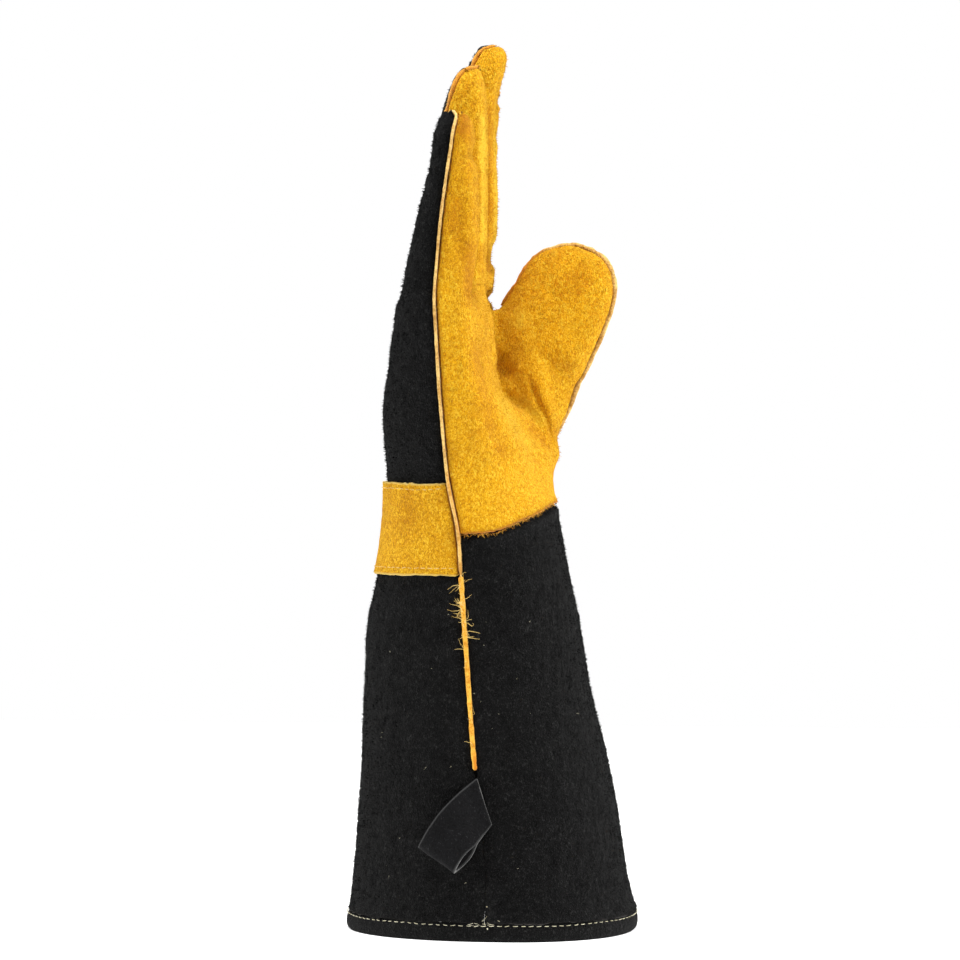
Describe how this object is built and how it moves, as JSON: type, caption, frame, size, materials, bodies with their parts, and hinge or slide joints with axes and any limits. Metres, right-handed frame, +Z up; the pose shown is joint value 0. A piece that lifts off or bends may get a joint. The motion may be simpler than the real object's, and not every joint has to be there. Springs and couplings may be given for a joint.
{
  "type": "barbecue glove",
  "caption": "Right-hand suede leather barbecue glove with a long flared gauntlet cuff, a wrist band and a hang loop, standing on its cuff.",
  "frame": {"origin": "on the floor under the middle of the whole glove's box, hang loop included", "axes": "+Z up from the cuff's hem to the fingertips, +X out of the palm, +Y to the thumb side"},
  "size_m": [0.1336, 0.1254, 0.4078],
  "materials": {
    "suede_yellow": "rough suede nap",
    "suede_black": "rough suede nap",
    "welt_cream": "raw cut edge",
    "piping_gold": "raw cut edge",
    "strap_charcoal": "smooth with pale cut edges"
  },
  "bodies": {
    "root": {"palm_panel": "suede_yellow", "ring_finger_front": "suede_yellow", "middle_finger_front": "suede_yellow", "thumb_back": "suede_yellow", "wrist_band": "suede_yellow", "back_panel": "suede_black", "cuff_palm": "suede_black", "cuff_back": "suede_black", "cuff_hem": "suede_black", "hand_welt": "welt_cream", "thumb_welt": "welt_cream", "cuff_piping": "piping_gold", "hang_loop": "strap_charcoal"}
  },
  "joints": []
}
